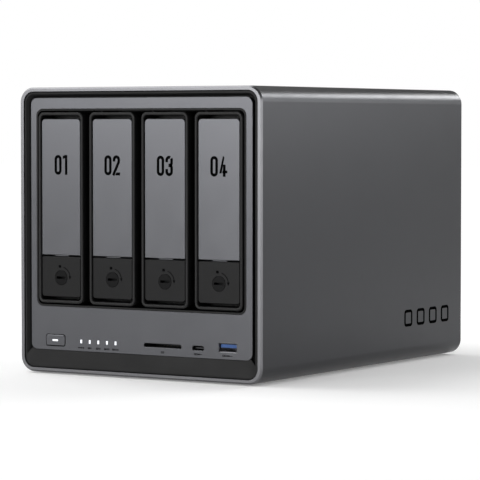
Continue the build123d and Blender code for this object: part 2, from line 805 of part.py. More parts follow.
with BuildPart() as rear_panel:
    with BuildSketch(facing_front(panel_front)):
        with Locations((0, middle)):
            RectangleRounded(inner_width - 0.2, inner_height - 0.2, inner_radius)
        with Locations((0, fan_height)):
            Circle(fan_bore, mode=Mode.SUBTRACT)
        for x in lan_xs:
            with Locations((x, board_top + lan_height / 2)):
                Rectangle(lan_width + 0.4, lan_height + 0.4, mode=Mode.SUBTRACT)
        for x, z, *_ in usb_a_places()[1:]:
            with Locations((x, z)):
                Rectangle(usb_a_width + 0.4, usb_a_height + 0.4, mode=Mode.SUBTRACT)
        with Locations((hdmi_x, board_top + hdmi_height / 2 + 0.3)):
            Rectangle(hdmi_width + 0.4, hdmi_height + 0.4, mode=Mode.SUBTRACT)
        with Locations((inlet_x, inlet_middle)):
            Circle(inlet_size / 2 - 0.3, mode=Mode.SUBTRACT)
        with Locations((reset_x, reset_height)):
            Circle(1.25, mode=Mode.SUBTRACT)
        # Slot for a security cable
        with Locations((-70, board_top + 6)):
            RectangleRounded(7, 3, 0.8, mode=Mode.SUBTRACT)
        with Locations(*mirrored_corners(corner_spacing_x, corner_spacing_z, middle)):
            Circle(1.6, mode=Mode.SUBTRACT)
        with Locations(*mirrored_corners(fan_hole_spacing, fan_hole_spacing, fan_height)):
            Circle(2.3, mode=Mode.SUBTRACT)
    extrude(amount=-panel_thickness)
    with BuildSketch(facing_front(panel_back)):
        with Locations(*mirrored_corners(fan_hole_spacing, fan_hole_spacing, fan_height)):
            Circle(3.4)
        with Locations(*mirrored_corners(corner_spacing_x, corner_spacing_z, middle)):
            Circle(3.2)
    extrude(amount=1.4, mode=Mode.SUBTRACT)
save(rear_panel, "rear_panel")


screw_sets = {
    "rear_panel_screws": (
        mirrored_corners(corner_spacing_x, corner_spacing_z, middle), 1.2, 3.0, 7.0,
    ),
    "fan_screws": (
        mirrored_corners(fan_hole_spacing, fan_hole_spacing, fan_height), 2.1, 3.2, 9.0,
    ),
}
for name, (spots, shank_radius, head_radius, length) in screw_sets.items():
    with BuildPart() as screws:
        with BuildSketch(facing_front(panel_back - 1.4)):
            with Locations(*spots):
                Circle(head_radius)
        extrude(amount=-1.2)
        with BuildSketch(facing_front(panel_back - 1.4)):
            with Locations(*spots):
                Circle(shank_radius)
        extrude(amount=length)
        # Cross recess in each head
        with BuildSketch(facing_front(panel_back - 0.2)):
            with Locations(*spots):
                Rectangle(3.4, 0.8)
                Rectangle(0.8, 3.4)
        extrude(amount=0.7, mode=Mode.SUBTRACT)
    save(screws, name)

with BuildPart() as lan_ports:
    for x in lan_xs:
        with Locations((x, panel_back, board_top)):
            Box(lan_width, lan_depth, lan_height, align=(Align.CENTER, Align.MAX, Align.MIN))
        # Mouth for the plug, with the clip's notch below
        with Locations((x, panel_back, board_top + lan_height / 2 + 0.6)):
            Box(11.9, 14, 7.2, align=(Align.CENTER, Align.MAX, Align.CENTER), mode=Mode.SUBTRACT)
        with Locations((x, panel_back, board_top + lan_height / 2 - 3.0)):
            Box(6.4, 14, 2.6, align=(Align.CENTER, Align.MAX, Align.MAX), mode=Mode.SUBTRACT)
save(lan_ports, "lan_ports")

with BuildPart() as hdmi_port:
    with Locations((hdmi_x, panel_back - 0.1, board_top + 0.3)):
        Box(hdmi_width, 12, hdmi_height, align=(Align.CENTER, Align.MAX, Align.MIN))
    with Locations((hdmi_x, panel_back - 0.1, board_top + 0.3 + hdmi_height / 2)):
        Box(14.1, 9, 4.7, align=(Align.CENTER, Align.MAX, Align.CENTER), mode=Mode.SUBTRACT)
        Box(11.5, 9, 1.2, align=(Align.CENTER, Align.MAX, Align.CENTER))
    chamfer(
        hdmi_port.edges().filter_by(Axis.Y).group_by(Axis.Z)[0], length=1.0
    )
save(hdmi_port, "hdmi_port")

with BuildPart() as power_inlet:
    with Locations((inlet_x, panel_front - 0.1, inlet_middle)):
        Box(inlet_size, 14, inlet_size, align=(Align.CENTER, Align.MAX, Align.CENTER))
    with Locations((inlet_x, panel_front, board_top)):
        Box(inlet_size, 10, 1.0, align=(Align.CENTER, Align.MAX, Align.MIN))
    with BuildSketch(facing_front(panel_back - 0.1)):
        with Locations((inlet_x, inlet_middle)):
            Circle(inlet_size / 2 - 0.5)
    extrude(amount=panel_thickness)
    with BuildSketch(facing_front(panel_back - 0.1)):
        with Locations((inlet_x, inlet_middle)):
            Circle(3.2)
            Circle(1.0, mode=Mode.SUBTRACT)
    extrude(amount=9.5, mode=Mode.SUBTRACT)
save(power_inlet, "power_inlet")

with BuildPart() as reset_button:
    with BuildSketch(facing_front(panel_back - 0.5)):
        with Locations((reset_x, reset_height)):
            Circle(0.9)
    extrude(amount=7.0)
    with BuildSketch(facing_front(panel_front - 0.5)):
        with Locations((reset_x, reset_height)):
            Circle(1.9)
    extrude(amount=1.2)
save(reset_button, "reset_button")

# ---------------------------------------------------------------- fan and its filter
with BuildPart() as fan_frame:
    with BuildSketch(facing_front(fan_front)):
        with Locations((0, fan_height)):
            RectangleRounded(fan_size, fan_size, 6)
            Circle(fan_bore, mode=Mode.SUBTRACT)
        with Locations(*mirrored_corners(fan_hole_spacing, fan_hole_spacing, fan_height)):
            Circle(2.15, mode=Mode.SUBTRACT)
    extrude(amount=-fan_depth)
    # Motor plate on four struts at the outlet side
    with BuildSketch(facing_front(panel_front - 3.5)):
        with Locations((0, fan_height)):
            Rectangle(2 * fan_bore + 1, 6, rotation=45)
            Rectangle(2 * fan_bore + 1, 6, rotation=-45)
            Circle(hub_radius + 1)
            Circle(1.5 + running_gap, mode=Mode.SUBTRACT)
    extrude(amount=-3.5)
save(fan_frame, "fan_frame")

hub_front = fan_front + 1.0
hub_back = panel_front - 4.0
blade_reach = 62.0
blade_chord = 24.0
blade_pitch = 42.0


def blade_plane(index):
    """A plane facing outwards on the hub, turned to one blade's place."""
    turn = radians(360 / blade_count * index)
    outwards = (cos(turn), 0, sin(turn))
    root = hub_radius - 1.5
    place = (root * cos(turn), mid(hub_front, hub_back), fan_height + root * sin(turn))
    return Plane(origin=place, x_dir=(0, 1, 0), z_dir=outwards)


with BuildPart() as fan_rotor:
    with BuildSketch(facing_front(hub_front)):
        with Locations((0, fan_height)):
            Circle(hub_radius)
    extrude(amount=hub_front - hub_back)
    fillet(fan_rotor.faces().sort_by(Axis.Y)[0].edges(), radius=2.5)
    with BuildSketch(*[blade_plane(i) for i in range(blade_count)]):
        Rectangle(blade_chord, 1.8, rotation=blade_pitch)
    extrude(amount=blade_reach - hub_radius + 1.5)
    with BuildSketch(facing_front(hub_back)):
        with Locations((0, fan_height)):
            Circle(1.5)
    extrude(amount=-3.4)
save(fan_rotor, "fan_rotor")

filter_back = panel_back + filter_thickness
magnet_spots = mirrored_corners(filter_width - 12, filter_height - 12, fan_height)
with BuildPart() as fan_filter:
    with BuildSketch(facing_front(panel_back)):
        with Locations((0, fan_height)):
            RectangleRounded(filter_width, filter_height, 6)
            with GridLocations(40, 7, 3, 15):
                SlotOverall(37, 4, mode=Mode.SUBTRACT)
    extrude(amount=-filter_thickness)
    chamfer(fan_filter.faces().sort_by(Axis.Y)[-1].outer_wire().edges(), length=0.5)
    with BuildSketch(facing_front(panel_back)):
        with Locations(*magnet_spots):
            Circle(4.1)
    extrude(amount=-1.2, mode=Mode.SUBTRACT)
save(fan_filter, "fan_filter")

with BuildPart() as filter_magnets:
    with BuildSketch(facing_front(panel_back)):
        with Locations(*magnet_spots):
            Circle(4.0)
    extrude(amount=-1.2)
save(filter_magnets, "filter_magnets")
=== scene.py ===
"""Looks, camera and light for the four-bay network storage enclosure. Everything is in metres."""
import json
from math import cos, radians, sin

import bpy
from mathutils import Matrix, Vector


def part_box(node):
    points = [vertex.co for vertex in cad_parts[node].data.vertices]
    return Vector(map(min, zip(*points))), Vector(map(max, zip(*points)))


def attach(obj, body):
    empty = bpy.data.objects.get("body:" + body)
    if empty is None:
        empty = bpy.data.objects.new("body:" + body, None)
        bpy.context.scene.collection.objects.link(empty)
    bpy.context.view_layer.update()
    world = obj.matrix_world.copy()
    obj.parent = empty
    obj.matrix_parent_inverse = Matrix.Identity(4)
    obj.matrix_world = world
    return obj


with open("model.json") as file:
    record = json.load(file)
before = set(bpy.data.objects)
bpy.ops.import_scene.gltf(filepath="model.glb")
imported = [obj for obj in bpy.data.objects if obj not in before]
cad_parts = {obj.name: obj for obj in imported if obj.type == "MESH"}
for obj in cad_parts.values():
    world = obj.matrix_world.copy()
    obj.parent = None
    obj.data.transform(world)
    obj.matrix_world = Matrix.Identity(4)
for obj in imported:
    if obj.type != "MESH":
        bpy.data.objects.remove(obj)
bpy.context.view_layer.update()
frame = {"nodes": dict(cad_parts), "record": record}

MM = 0.001
BAYS = (1, 2, 3, 4)
PRINT_THICK = 0.03 * MM      # printed marks stand this far out of the face under them


# ---------------------------------------------------------------- mesh helpers
def add_mesh(name, vertices, faces, material, body):
    """A new piece from its points and faces, riding on a body."""
    mesh = bpy.data.meshes.new(name)
    mesh.from_pydata([tuple(v) for v in vertices], [], faces)
    mesh.validate()
    mesh.update()
    piece = bpy.data.objects.new(name, mesh)
    bpy.context.scene.collection.objects.link(piece)
    mesh.materials.append(material)
    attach(piece, body)


class Outline:
    """Collects flat shapes drawn on a plane and thickens them into one mesh."""

    def __init__(self, place, across, up, thick=PRINT_THICK, scale=1.0):
        self.place = Vector(place)
        self.across = Vector(across) * scale
        self.up = Vector(up) * scale
        self.out = self.across.cross(self.up).normalized()
        self.thick = thick
        self.vertices = []
        self.faces = []

    def polygon(self, points):
        """A filled outline, given anticlockwise, as a thin prism."""
        first = len(self.vertices)
        count = len(points)
        for depth in (0, self.thick):
            for u, v in points:
                spot = self.place + self.across * u + self.up * v + self.out * depth
                self.vertices.append(spot)
        low = list(range(first, first + count))
        high = [i + count for i in low]
        self.faces.append(low[::-1])
        self.faces.append(high)
        for i in range(count):
            j = (i + 1) % count
            self.faces.append([low[i], low[j], high[j], high[i]])

    def stroke(self, points, width, closed=False):
        """A line of one width along points, as a strip of thin prisms with mitred joints."""
        count = len(points)
        sides = []
        for i, point in enumerate(points):
            here = Vector(point)
            before = Vector(points[i - 1]) if (i or closed) else None
            after = Vector(points[(i + 1) % count]) if (i < count - 1 or closed) else None
            ways = []
            if before is not None:
                ways.append((here - before).normalized())
            if after is not None:
                ways.append((after - here).normalized())
            way = sum(ways, Vector((0, 0))).normalized()
            normal = Vector((-way.y, way.x))
            stretch = 1 / max(0.5, way.dot(ways[0]))
            sides.append((here + normal * width / 2 * stretch, here - normal * width / 2 * stretch))
        last = count if closed else count - 1
        for i in range(last):
            left, right = sides[i]
            next_left, next_right = sides[(i + 1) % count]
            self.polygon([right, next_right, next_left, left])

    def block(self, u, v, width, height):
        """A filled rectangle round (u, v)."""
        w, h = width / 2, height / 2
        self.polygon([(u - w, v - h), (u + w, v - h), (u + w, v + h), (u - w, v + h)])

    def rounded(self, u, v, width, height, radius):
        """A filled shape with rounded corners round (u, v)."""
        self.polygon(rounded_points(u, v, width / 2 - radius, height / 2 - radius, radius))

    def frame(self, u, v, width, height, line):
        """A rectangular outline round (u, v)."""
        w, h = (width - line) / 2, (height - line) / 2
        self.stroke([(u - w, v - h), (u + w, v - h), (u + w, v + h), (u - w, v + h)], line, True)

    def rounded_frame(self, u, v, width, height, radius, line):
        """An outline with rounded corners round (u, v)."""
        w, h = (width - line) / 2 - radius, (height - line) / 2 - radius
        self.stroke(rounded_points(u, v, w, h, radius), line, True)

    def finish(self, name, material, body, slot):
        """Turns the shapes drawn so far into one piece."""
        add_mesh(name, self.vertices, self.faces, material, body)


def arc(centre, radius, start, end, steps):
    """Points along an arc, with angles in degrees."""
    points = []
    for i in range(steps):
        angle = radians(start + (end - start) * i / (steps - 1))
        points.append((centre[0] + radius * cos(angle), centre[1] + radius * sin(angle)))
    return points


def rounded_points(u, v, w, h, radius):
    """Points round (u, v) whose corner arcs are centred w to the side and h up or down."""
    points = []
    for i, (across, up) in enumerate(((w, h), (-w, h), (-w, -h), (w, -h))):
        points += arc((u + across, v + up), radius, 90 * i, 90 * i + 90, 6)
    return points


# ---------------------------------------------------------------- materials
class Surface:
    """A Principled material built from noise in the piece's own coordinates."""

    def __init__(self, name, colour, roughness, metallic=0.0):
        self.material = bpy.data.materials.new(name)
        self.material.use_nodes = True
        self.nodes = self.material.node_tree.nodes
        self.links = self.material.node_tree.links
        self.shader = self.nodes["Principled BSDF"]
        self.shader.inputs["Metallic"].default_value = metallic
        self.shader.inputs["Roughness"].default_value = roughness
        self.shader.inputs["Base Color"].default_value = (*colour, 1)
        self.coordinates = self.nodes.new("ShaderNodeTexCoord").outputs["Object"]
        self.colour = self.rgb(colour)
        self.bumps = []

    def rgb(self, colour):
        node = self.nodes.new("ShaderNodeRGB")
        node.outputs[0].default_value = (*colour, 1)
        return node.outputs[0]

    def noise(self, size, detail=3.0, stretch=(1, 1, 1)):
        """Noise whose features are about size metres across."""
        mapping = self.nodes.new("ShaderNodeMapping")
        mapping.inputs["Scale"].default_value = stretch
        self.links.new(self.coordinates, mapping.inputs["Vector"])
        node = self.nodes.new("ShaderNodeTexNoise")
        node.inputs["Scale"].default_value = 1 / size
        node.inputs["Detail"].default_value = detail
        self.links.new(mapping.outputs["Vector"], node.inputs["Vector"])
        return node.outputs["Fac"]

    def remap(self, value, low, high, to_low, to_high):
        node = self.nodes.new("ShaderNodeMapRange")
        node.interpolation_type = "SMOOTHSTEP"
        node.inputs["From Min"].default_value = low
        node.inputs["From Max"].default_value = high
        node.inputs["To Min"].default_value = to_low
        node.inputs["To Max"].default_value = to_high
        self.links.new(value, node.inputs["Value"])
        return node.outputs["Result"]

    def axis(self, name):
        node = self.nodes.new("ShaderNodeSeparateXYZ")
        self.links.new(self.coordinates, node.inputs[0])
        return node.outputs[name]

    def mix(self, share, colour):
        """Lays another colour over the colour so far, by share."""
        node = self.nodes.new("ShaderNodeMix")
        node.data_type = "RGBA"
        self.links.new(share, node.inputs["Factor"])
        self.links.new(self.colour, node.inputs["A"])
        node.inputs["B"].default_value = (*colour, 1)
        self.colour = node.outputs["Result"]

    def bump(self, height, distance, strength=1.0):
        node = self.nodes.new("ShaderNodeBump")
        node.inputs["Distance"].default_value = distance
        node.inputs["Strength"].default_value = strength
        self.links.new(height, node.inputs["Height"])
        if self.bumps:
            self.links.new(self.bumps[-1], node.inputs["Normal"])
        self.bumps.append(node.outputs["Normal"])

    def finish(self):
        self.links.new(self.colour, self.shader.inputs["Base Color"])
        if self.bumps:
            self.links.new(self.bumps[-1], self.shader.inputs["Normal"])
        return self.material


def lighter(colour, factor):
    """The colour times a factor, which may also darken it."""
    return tuple(min(1.0, c * factor) for c in colour)


def blasted_metal(name, colour, roughness, metallic, grain=0.35 * MM):
    """Bead-blasted, anodised or painted metal: fine grain, faint clouding, handling marks."""
    surface = Surface(name, colour, roughness, metallic)
    clouds = surface.noise(45 * MM, 4)
    surface.mix(surface.remap(clouds, 0.35, 0.7, 0.0, 0.4), lighter(colour, 0.95))
    fine = surface.noise(grain, 2)
    surface.mix(surface.remap(fine, 0.45, 0.75, 0.0, 0.35), lighter(colour, 1.14))
    smudges = surface.noise(14 * MM, 5)
    surface.links.new(
        surface.remap(smudges, 0.3, 0.75, roughness - 0.015, roughness + 0.02),
        surface.shader.inputs["Roughness"],
    )
    surface.bump(fine, 0.006 * MM, 0.5)
    return surface


def sleeve_metal():
    """Dark anodised sleeve whose cut front rim is left bright."""
    surface = blasted_metal("sleeve_metal", SLEEVE_GREY, 0.32, 1.0)
    low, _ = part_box("outer_sleeve")
    rim = surface.remap(surface.axis("Y"), low.y + 0.7 * MM, low.y + 1.4 * MM, 1.0, 0.0)
    surface.mix(rim, RIM_GREY)
    return surface.finish()


def moulded_plastic(name, colour, roughness, grain=0.5 * MM, depth=0.02 * MM, gloss=0.22):
    """Spark-eroded moulding texture with a faint sheen where hands have rubbed it."""
    surface = Surface(name, colour, roughness)
    surface.shader.inputs["Specular IOR Level"].default_value = gloss
    fine = surface.noise(grain, 3)
    surface.mix(surface.remap(fine, 0.4, 0.75, 0.0, 0.5), lighter(colour, 1.25))
    rubbed = surface.noise(22 * MM, 4)
    surface.mix(surface.remap(rubbed, 0.35, 0.75, 0.0, 0.5), lighter(colour, 0.85))
    surface.links.new(
        surface.remap(rubbed, 0.3, 0.75, roughness + 0.04, roughness - 0.06),
        surface.shader.inputs["Roughness"],
    )
    surface.bump(fine, depth, 0.6)
    return surface.finish()


def plated_sheet(name, colour, roughness, drawn=(1, 1, 1)):
    """Rolled and plated sheet: long faint drawing lines and spangle."""
    surface = Surface(name, colour, roughness, 1.0)
    lines = surface.noise(1.2 * MM, 2, drawn)
    surface.mix(surface.remap(lines, 0.35, 0.7, 0.0, 0.6), lighter(colour, 0.8))
    spangle = surface.noise(9 * MM, 3)
    surface.mix(surface.remap(spangle, 0.4, 0.7, 0.0, 0.4), lighter(colour, 1.15))
    surface.links.new(
        surface.remap(spangle, 0.3, 0.7, roughness - 0.06, roughness + 0.08),
        surface.shader.inputs["Roughness"],
    )
    surface.bump(lines, 0.01 * MM, 0.4)
    return surface.finish()


def board_lacquer():
    """Solder mask with faint traces showing through and a weave underneath."""
    colour = (0.012, 0.07, 0.035)
    surface = Surface("board_lacquer", colour, 0.35)
    traces = surface.noise(5 * MM, 0, (1, 6, 1))
    surface.mix(surface.remap(traces, 0.48, 0.52, 0.0, 0.7), lighter(colour, 1.9))
    weave = surface.noise(0.8 * MM, 1)
    surface.mix(surface.remap(weave, 0.4, 0.7, 0.0, 0.4), lighter(colour, 0.7))
    surface.bump(traces, 0.03 * MM, 0.5)
    return surface.finish()


def glowing_lens():
    """Translucent light guide with its lamp on, faintly mottled."""
    surface = Surface("glowing_lens", (0.7, 0.72, 0.75), 0.35)
    cloud = surface.noise(1.0 * MM, 2)
    surface.mix(surface.remap(cloud, 0.35, 0.7, 0.0, 0.5), (0.6, 0.62, 0.66))
    surface.shader.inputs["Emission Color"].default_value = (0.93, 0.95, 1.0, 1)
    surface.shader.inputs["Emission Strength"].default_value = 0.6
    surface.bump(cloud, 0.01 * MM, 0.3)
    return surface.finish()


def dusty_rubber():
    """Matt black rubber with open pores and a little dust."""
    colour = (0.018, 0.018, 0.018)
    surface = Surface("foot_rubber", colour, 0.75)
    pores = surface.noise(0.6 * MM, 4)
    surface.mix(surface.remap(pores, 0.4, 0.7, 0.0, 0.6), lighter(colour, 1.6))
    dust = surface.noise(6 * MM, 4)
    surface.mix(surface.remap(dust, 0.5, 0.8, 0.0, 0.35), (0.09, 0.088, 0.085))
    surface.bump(pores, 0.05 * MM, 0.7)
    return surface.finish()


def printed_ink():
    """Screen-printed black ink with slightly uneven cover."""
    colour = (0.002, 0.002, 0.0022)
    surface = Surface("printed_ink", colour, 0.6)
    surface.shader.inputs["Specular IOR Level"].default_value = 0.0
    cover = surface.noise(0.4 * MM, 3)
    surface.mix(surface.remap(cover, 0.5, 0.8, 0.0, 0.5), (0.006, 0.006, 0.0065))
    surface.bump(cover, 0.004 * MM, 0.5)
    return surface.finish()


def gold_contacts():
    """Gold flash, wiped dull in streaks by the plugs."""
    colour = (0.72, 0.5, 0.2)
    surface = Surface("gold_contacts", colour, 0.28, 1.0)
    wiped = surface.noise(0.8 * MM, 3, (4, 1, 1))
    surface.mix(surface.remap(wiped, 0.4, 0.7, 0.0, 0.5), lighter(colour, 0.75))
    surface.bump(wiped, 0.004 * MM, 0.4)
    return surface.finish()


SLEEVE_GREY = (0.038, 0.0388, 0.0422)
RIM_GREY = (0.14, 0.14, 0.147)
FACE_GREY = (0.082, 0.0831, 0.0893)
HANDLE_GREY = (0.088, 0.0892, 0.0959)
FRAME_BLACK = (0.0068, 0.0068, 0.007)
TRAY_BLACK = (0.0068, 0.0068, 0.007)
LATCH_BLACK = (0.0058, 0.0058, 0.006)

sleeve = sleeve_metal()
face = blasted_metal("face_metal", FACE_GREY, 0.29, 0.95).finish()
handle_metal = blasted_metal("handle_metal", HANDLE_GREY, 0.29, 0.95).finish()
frame_plastic = moulded_plastic("frame_plastic", FRAME_BLACK, 0.5, gloss=0.16)
tray_plastic = moulded_plastic("tray_plastic", TRAY_BLACK, 0.45, gloss=0.2)
latch_plastic = moulded_plastic("latch_plastic", LATCH_BLACK, 0.45, gloss=0.14)
fan_plastic = moulded_plastic("fan_plastic", (0.016, 0.016, 0.017), 0.5, grain=0.8 * MM)
socket_plastic = moulded_plastic("socket_plastic", (0.012, 0.012, 0.012), 0.4, grain=0.3 * MM)
clip_plastic = moulded_plastic("clip_plastic", (0.07, 0.07, 0.075), 0.42)
lock_plastic = moulded_plastic("lock_plastic", (0.004, 0.004, 0.0042), 0.4, 0.25 * MM, gloss=0.07)
blue_plastic = moulded_plastic("blue_plastic", (0.033, 0.083, 0.235), 0.35, grain=0.3 * MM)
plated = plated_sheet("plated_sheet", (0.36, 0.36, 0.375), 0.3)
# Dark plated sheet: painted shade for the inside of the small USB-C socket, also used on the tray
# dividers
dark_sheet_and_shade = plated_sheet("dark_sheet_and_shade", (0.035, 0.035, 0.037), 0.4)
cage_metal = plated_sheet("cage_metal", (0.5, 0.51, 0.53), 0.4, (1, 0.1, 1))
screw_metal = plated_sheet("screw_metal", (0.12, 0.12, 0.125), 0.35)
bare_aluminium = plated_sheet("bare_aluminium", (0.8, 0.81, 0.83), 0.35, (1, 0.1, 1))
magnet_metal = plated_sheet("magnet_metal", (0.72, 0.71, 0.69), 0.2)
lens = glowing_lens()
foot_rubber = dusty_rubber()
lacquer = board_lacquer()
ink = printed_ink()
gold = gold_contacts()

BY_SLOT = {
    "sleeve_aluminium": sleeve,
    "face_grey": face,
    "black_plastic": frame_plastic,
    "tray_plastic": tray_plastic,
    "lock_black": lock_plastic,
    "clip_plastic": clip_plastic,
    "light_lens": lens,
    "circuit_board": lacquer,
    "socket_plastic": socket_plastic,
    "usb_blue": blue_plastic,
    "plated_steel": plated,
    "cage_steel": cage_metal,
    "screw_steel": screw_metal,
    "heatsink_aluminium": bare_aluminium,
    "foot_rubber": foot_rubber,
    "fan_plastic": fan_plastic,
    "magnet_nickel": magnet_metal,
}

# The small shell in the strip gets a dark sheet colour as painted shade for the inside of its socket;
# the dividers between the trays get the same dark colour
BY_NODE = {"usb_c_port": dark_sheet_and_shade, "cage_dividers": dark_sheet_and_shade}
for bay in BAYS:
    BY_NODE[f"tray_{bay}_latch"] = latch_plastic
    BY_NODE[f"tray_{bay}_handle"] = handle_metal

for row in frame["record"]["subparts"]:
    node = frame["nodes"][row["node"]]
    node.data.materials.clear()
    node.data.materials.append(BY_NODE.get(row["node"], BY_SLOT[row["material_slot"]]))

# ---------------------------------------------------------------- bay numbers on the handles
DIGIT_HEIGHT = 12.3 * MM
DIGIT_STROKE = 1.85 * MM
DIGIT_GAP = 0.9 * MM
DIGIT_BASE = 50.5 * MM       # above the handle's lower edge
DIGIT_WIDTHS = {0: 5.4 * MM, 1: 3.5 * MM, 2: 5.4 * MM, 3: 5.4 * MM, 4: 5.8 * MM}

# Each digit stands on the line v = 0 with its left edge at u. Inside a digit, w is its
# width, h its height, s the stroke's width and r the radius of its bends.


def draw_zero(outline, u):
    """A tall ring."""
    w, h, s = DIGIT_WIDTHS[0], DIGIT_HEIGHT, DIGIT_STROKE
    r = (w - s) / 2
    middle = u + w / 2
    ring = arc((middle, s / 2 + r), r, 180, 360, 12)
    ring += arc((middle, h - s / 2 - r), r, 0, 180, 12)
    outline.stroke(ring, s, closed=True)


def draw_one(outline, u):
    """A post with a sloping flag."""
    w, h, s = DIGIT_WIDTHS[1], DIGIT_HEIGHT, DIGIT_STROKE
    outline.polygon([(u + w - s, 0), (u + w, 0), (u + w, h), (u + w - s, h)])
    flag = 0.8 * MM
    outline.polygon([(u, h - flag - s), (u + w - s, h - s), (u + w - s, h), (u, h - flag)])


def draw_two(outline, u):
    """A hook that runs down into a diagonal, and a foot that stands apart from it."""
    w, h, s = DIGIT_WIDTHS[2], DIGIT_HEIGHT, DIGIT_STROKE
    r = (w - s) / 2
    right = u + w - s / 2
    hook = [(u + s / 2, 0.69 * h)] + arc((u + w / 2, h - s / 2 - r), r, 180, 0, 14)
    diagonal = [(right, 0.71 * h), (right - 0.05 * w, 0.64 * h), (u + 0.06 * w, 0)]
    outline.stroke(hook + diagonal, s)
    outline.polygon([(u + 0.32 * w, 0), (u + w, 0), (u + w, s), (u + 0.5 * w, s)])


def draw_three(outline, u):
    """Two bowls, the upper one cut at its top right."""
    w, h, s = DIGIT_WIDTHS[3], DIGIT_HEIGHT, DIGIT_STROKE
    r = (w - s) / 2
    top = (u + w / 2, h - s / 2 - r)
    low = (u + w / 2, s / 2 + r)
    left, right = u + s / 2, u + w - s / 2
    waist, bend = u + 0.42 * w, u + w - 0.8 * s
    outline.stroke([(left, 0.68 * h)] + arc(top, r, 180, 62, 10), s)
    upper = [(right, 0.62 * h), (bend, 0.54 * h), (waist, 0.53 * h)]
    outline.stroke(arc(top, r, 36, 0, 5) + upper, s)
    lower = [(waist, 0.52 * h), (bend, 0.51 * h), (right, 0.44 * h)]
    outline.stroke(lower + arc(low, r, 0, -180, 14) + [(left, 0.35 * h)], s)


def draw_four(outline, u):
    """A diagonal, a short post and a crossbar."""
    w, h, s = DIGIT_WIDTHS[4], DIGIT_HEIGHT, DIGIT_STROKE
    outline.polygon([
        (u, 0.16 * h), (u + 0.9 * s, 0.16 * h), (u + 0.64 * w, 0.94 * h),
        (u + 0.52 * w, h), (u + 0.44 * w, 0.98 * h),
    ])
    right = u + w - 0.7 * s
    outline.polygon([(right - s, 0), (right, 0), (right, 0.59 * h), (right - s, 0.59 * h)])
    outline.polygon([
        (u + 0.36 * w, 0.17 * h), (u + w, 0.17 * h), (u + w, 0.3 * h), (u + 0.42 * w, 0.3 * h),
    ])


DRAW_DIGIT = {1: draw_one, 2: draw_two, 3: draw_three, 4: draw_four}

for bay in BAYS:
    handle_low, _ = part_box(f"tray_{bay}_handle")
    bezel_low, bezel_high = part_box(f"tray_{bay}_bezel")
    middle = (bezel_low.x + bezel_high.x) / 2
    number = Outline((middle, handle_low.y, handle_low.z + DIGIT_BASE), (1, 0, 0), (0, 0, 1))
    left = -(DIGIT_WIDTHS[0] + DIGIT_GAP + DIGIT_WIDTHS[bay]) / 2
    draw_zero(number, left)
    DRAW_DIGIT[bay](number, left + DIGIT_WIDTHS[0] + DIGIT_GAP)
    number.finish(f"tray_{bay}_number", ink, f"tray_{bay}_handle", "lock_black")

# ---------------------------------------------------------------- marks round the key locks
MARK_RADIUS = 6.7 * MM
MARK_WIDTH = 0.5 * MM
MARK_SQUARE = (1.8 * MM, 1.6 * MM)
MARK_START, MARK_END = 74, 8     # the arc's ends, in degrees from the right
ARROW_HALF = 1.0 * MM

for bay in BAYS:
    lock_low, lock_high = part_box(f"tray_{bay}_lock")
    latch_low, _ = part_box(f"tray_{bay}_latch")
    centre = (lock_low + lock_high) / 2
    marks = Outline((centre.x, latch_low.y, centre.z), (1, 0, 0), (0, 0, 1))
    marks.block(-1.0 * MM, MARK_RADIUS + 0.3 * MM, *MARK_SQUARE)
    marks.stroke(arc((0, 0), MARK_RADIUS, MARK_START, MARK_END, 14), MARK_WIDTH)
    tip = MARK_RADIUS - 0.1 * MM
    marks.polygon([(tip, -ARROW_HALF), (tip + ARROW_HALF, ARROW_HALF), (tip - ARROW_HALF, ARROW_HALF)])
    marks.finish(f"tray_{bay}_lock_marks", ink, f"tray_{bay}_latch", "clip_plastic")

# ---------------------------------------------------------------- symbols in the control strip
SYMBOL_HEIGHT = 1.15 * MM
SYMBOL_LINE = 0.3 * MM
SYMBOL_DROP = 3.9 * MM       # below the middle of the strip


def draw_network(outline, u):
    """Three stations in a row on one line."""
    step = 1.75 * MM
    outline.stroke([(u - step, 0), (u + step, 0)], SYMBOL_LINE)
    for i in (-1, 0, 1):
        outline.block(u + i * step, 0, 0.85 * MM, 0.85 * MM)


def draw_drive(outline, u, number):
    """A drive's outline, then one bar for each bay up to its own."""
    bar_pitch = 0.72 * MM
    left = u - (1.9 * MM + bar_pitch * number) / 2
    outline.frame(left + 0.9 * MM, 0, 1.8 * MM, SYMBOL_HEIGHT, SYMBOL_LINE)
    outline.block(left + 0.9 * MM, -0.1 * MM, 0.9 * MM, 0.4 * MM)
    for i in range(number):
        outline.block(left + 2.3 * MM + bar_pitch * i, 0, 0.4 * MM, SYMBOL_HEIGHT)


def draw_card(outline, u):
    """A memory card with its contacts."""
    outline.frame(u, 0, 2.2 * MM, SYMBOL_HEIGHT, SYMBOL_LINE)
    for i in (-1, 0, 1):
        outline.block(u + i * 0.5 * MM, 0.1 * MM, 0.24 * MM, 0.55 * MM)


def draw_plug(outline, u, length):
    """A plug's shell with its pin, its body and a stub of lead."""
    outline.frame(u - 0.3 * length, 0, 0.4 * length, SYMBOL_HEIGHT, SYMBOL_LINE)
    outline.block(u - 0.3 * length, 0, 0.16 * length, 0.4 * MM)
    outline.block(u + 0.08 * length, 0, 0.3 * length, 0.8 * MM)
    outline.block(u + 0.37 * length, 0, 0.26 * length, 0.36 * MM)


def span_middle(node):
    low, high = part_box(node)
    return (low + high) / 2


